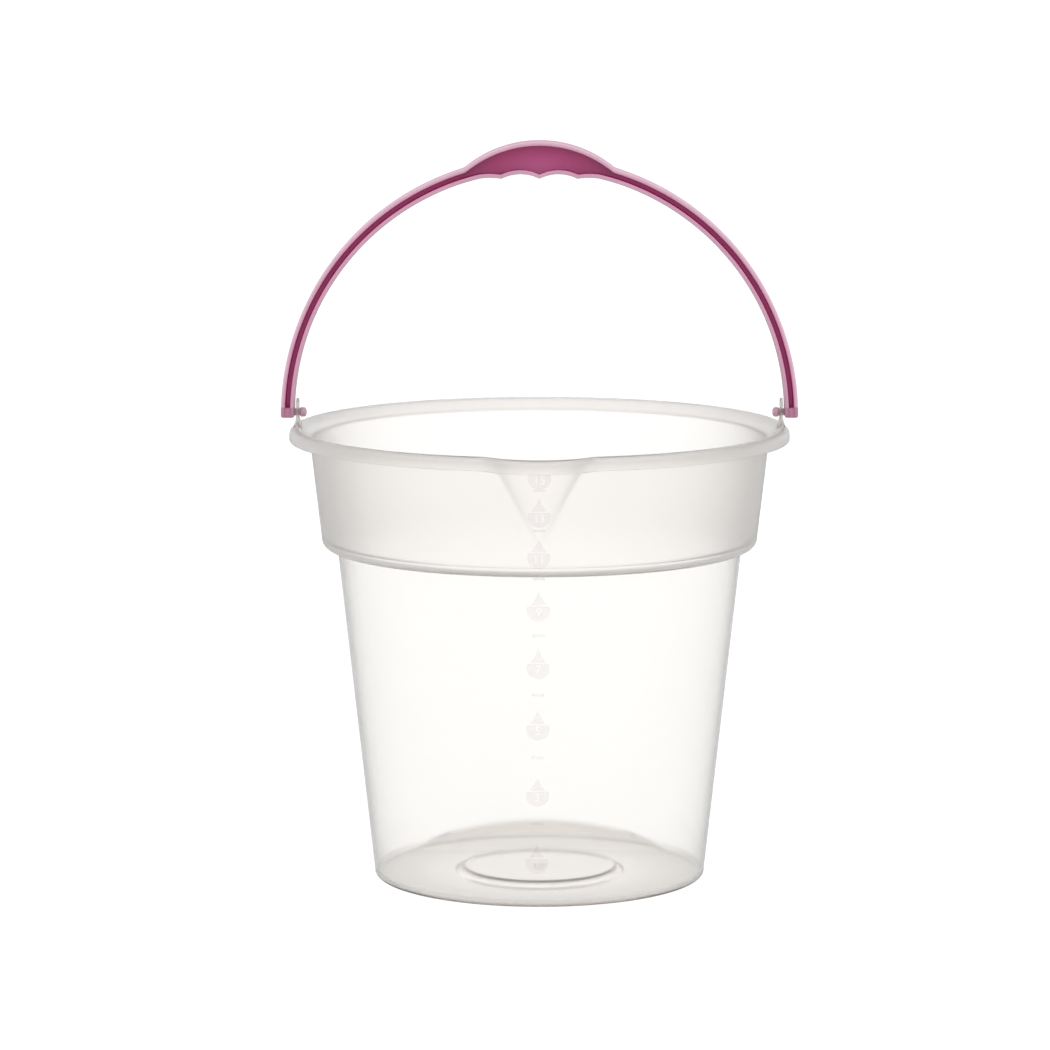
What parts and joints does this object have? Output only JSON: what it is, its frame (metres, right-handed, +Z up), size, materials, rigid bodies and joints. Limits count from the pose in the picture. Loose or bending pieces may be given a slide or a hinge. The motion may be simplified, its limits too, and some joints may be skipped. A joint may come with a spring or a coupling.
{
  "type": "bath bucket with bail handle",
  "caption": "Translucent round bath bucket with a stepped collar, a pouring spout, a tilt grip under its base and a swinging bail handle.",
  "frame": {"origin": "on the tub's own axis, in the plane of the ring that it stands on", "axes": "+Z up, -Y towards the pouring spout, X through both ears and the handle's hinge"},
  "size_m": [0.355, 0.3577, 0.5085],
  "materials": {
    "clear_plastic": "natural translucent polypropylene, satin",
    "pink_plastic": "translucent magenta polypropylene, satin"
  },
  "bodies": {
    "tub": {"tub": "clear_plastic"},
    "bail": {"bail_handle": "pink_plastic"}
  },
  "joints": [
    {"name": "bail_hinge", "type": "hinge", "parent": "tub", "child": "bail", "pos_m": [0, 0, 0.3224], "axis": [1, 0, 0], "range_deg": [-90, 90]}
  ]
}
